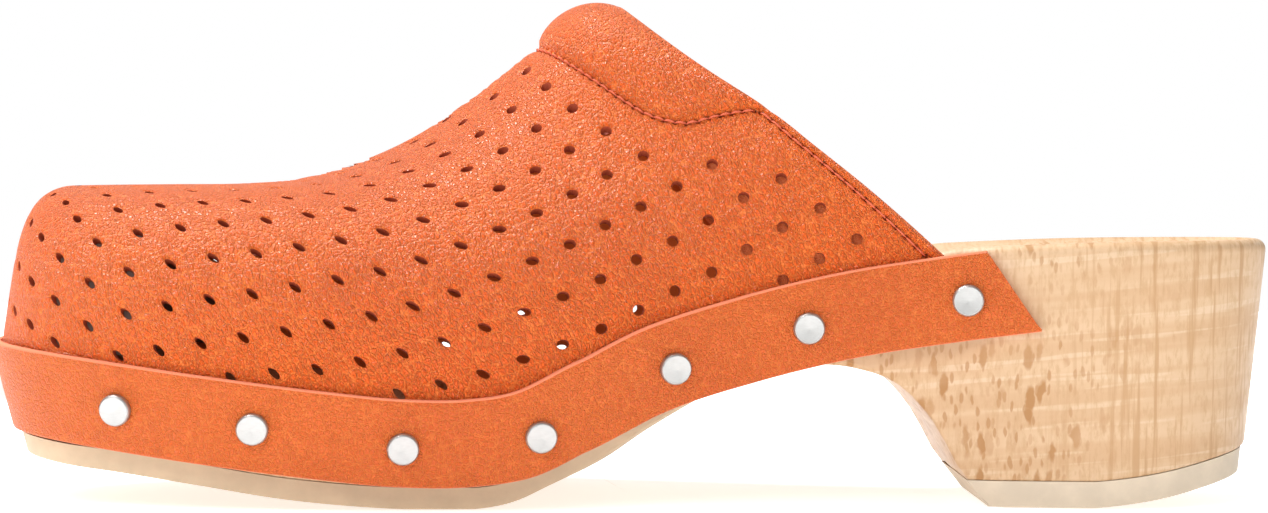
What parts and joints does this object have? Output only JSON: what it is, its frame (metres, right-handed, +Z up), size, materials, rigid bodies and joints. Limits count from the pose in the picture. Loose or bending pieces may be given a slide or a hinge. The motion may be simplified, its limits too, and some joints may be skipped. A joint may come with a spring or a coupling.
{
  "type": "wooden clog",
  "caption": "Backless clog with a carved wooden block-heel sole, a perforated leather upper with a padded collar, a nailed leather band round the edge and rubber treads.",
  "frame": {"origin": "Under the middle of the shoe's box, on the ground plane", "axes": "The toe points to -X and the heel to +X, +Z is up; the inner side of the foot is at -Y and the outer side at +Y"},
  "size_m": [0.2546, 0.0986, 0.0996],
  "materials": {
    "wooden_sole": "oiled beech",
    "forefoot_outsole": "smooth crepe rubber",
    "heel_top_piece": "smooth crepe rubber",
    "leather_upper": "grained, waxed",
    "toe_puff": "stiffened",
    "collar_foam": "soft foam",
    "collar_lining": "smooth",
    "band": "smooth, fine grain",
    "toe_plate": "polished",
    "toe_plate_nails": "polished",
    "lasting_staples": "zinc plated",
    "topline_stitching": "twisted thread",
    "collar_stitching": "twisted thread",
    "band_nail": "brushed face"
  },
  "bodies": {
    "root": {"wooden_sole": "wooden_sole", "forefoot_outsole": "forefoot_outsole", "heel_top_piece": "heel_top_piece", "leather_upper": "leather_upper", "toe_puff": "toe_puff", "collar_foam": "collar_foam", "collar_lining": "collar_lining", "band": "band", "toe_plate": "toe_plate", "toe_plate_nails": "toe_plate_nails", "lasting_staples": "lasting_staples", "topline_stitching": "topline_stitching", "collar_stitching": "collar_stitching", "band_nail_1": "band_nail", "band_nail_2": "band_nail", "band_nail_3": "band_nail", "band_nail_4": "band_nail", "band_nail_5": "band_nail", "band_nail_6": "band_nail", "band_nail_7": "band_nail", "band_nail_8": "band_nail", "band_nail_9": "band_nail", "band_nail_10": "band_nail", "band_nail_11": "band_nail", "band_nail_12": "band_nail", "band_nail_13": "band_nail", "band_nail_14": "band_nail"}
  },
  "joints": []
}
